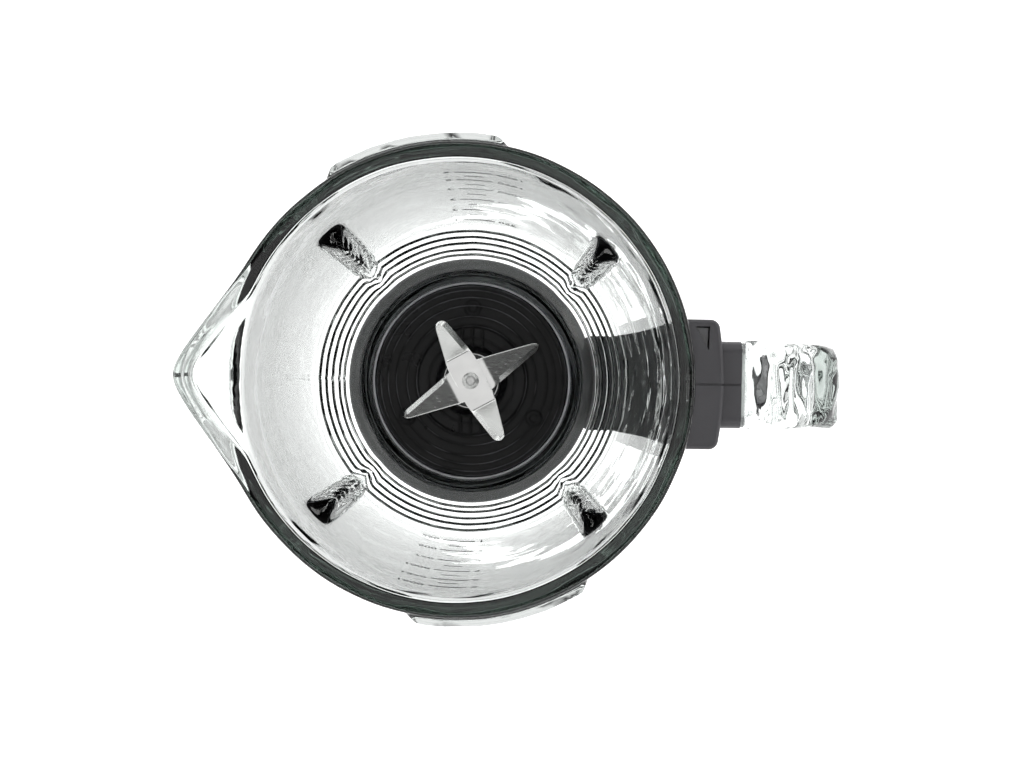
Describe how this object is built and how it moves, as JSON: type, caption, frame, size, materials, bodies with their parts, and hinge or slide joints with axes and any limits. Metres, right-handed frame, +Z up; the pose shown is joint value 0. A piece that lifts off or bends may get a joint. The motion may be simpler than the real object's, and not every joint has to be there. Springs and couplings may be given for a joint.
{
  "type": "blender jug",
  "caption": "Open glass blender jug with side handle, pouring spout, stepped base, crossed steel blades in a black disc, screw collar and a sprung lid interlock in the handle housing.",
  "frame": {"origin": "on the jug's axis, at the surface it stands on", "axes": "+Z up along the jug's axis, +X towards the handle, -X towards the spout"},
  "size_m": [0.2074, 0.15, 0.214],
  "materials": {
    "clear_glass": "clear pressed glass, polished",
    "dark_plastic": "fine satin moulded plastic",
    "black_plastic": "satin black moulded plastic",
    "grey_plastic": "light grey moulded plastic",
    "clear_silicone": "translucent silicone",
    "seal_rubber": "soft grey seal rubber",
    "blade_steel": "ground and brushed stainless steel",
    "turned_steel": "turned stainless steel",
    "screw_steel": "zinc-plated steel",
    "bronze": "sintered bronze"
  },
  "bodies": {
    "jug": {"jug_glass": "clear_glass", "housing_half_left": "dark_plastic", "housing_half_right": "dark_plastic", "housing_screws": "screw_steel", "handle_band_upper": "clear_silicone", "handle_band_lower": "clear_silicone"},
    "interlock": {"interlock_pushrod": "grey_plastic", "interlock_cap": "grey_plastic", "interlock_foot": "black_plastic", "interlock_spring": "screw_steel"},
    "carrier": {"blade_carrier": "black_plastic", "carrier_base_plate": "black_plastic", "carrier_screws": "screw_steel", "jug_seal": "seal_rubber", "bearing_housing": "turned_steel", "upper_bush": "bronze", "lower_bush": "bronze", "shaft_seal": "seal_rubber"},
    "collar": {"screw_collar": "black_plastic", "collar_foot_ring": "seal_rubber"},
    "rotor": {"seal_cap": "black_plastic", "spindle": "turned_steel", "blade_spacer": "turned_steel", "lower_blade": "blade_steel", "upper_blade": "blade_steel", "blade_rivet": "turned_steel", "thrust_washer": "turned_steel", "retaining_clip": "turned_steel", "drive_coupling": "black_plastic", "coupling_insert": "turned_steel"}
  },
  "joints": [
    {"name": "interlock_press", "type": "slide", "parent": "jug", "child": "interlock", "axis": [0, 0, -1], "range_m": [0, 0.006], "stiffness_N_per_m": 300, "springref_m": -0.003, "deforming": ["interlock_spring"]},
    {"name": "carrier_drop", "type": "slide", "parent": "jug", "child": "carrier", "axis": [0, 0, -1], "range_m": [0, 0.01]},
    {"name": "collar_turn", "type": "hinge", "parent": "carrier", "child": "collar", "pos_m": [0, 0, 0.02], "axis": [0, 0, 1], "range_deg": [0, 720]},
    {"name": "blade_spin", "type": "hinge", "parent": "carrier", "child": "rotor", "pos_m": [0, 0, 0.03], "axis": [0, 0, 1], "continuous": true}
  ],
  "couplings": [
    {"joint": "carrier_drop", "follows": "collar_turn", "m_per_rad": 0.00079577}
  ]
}
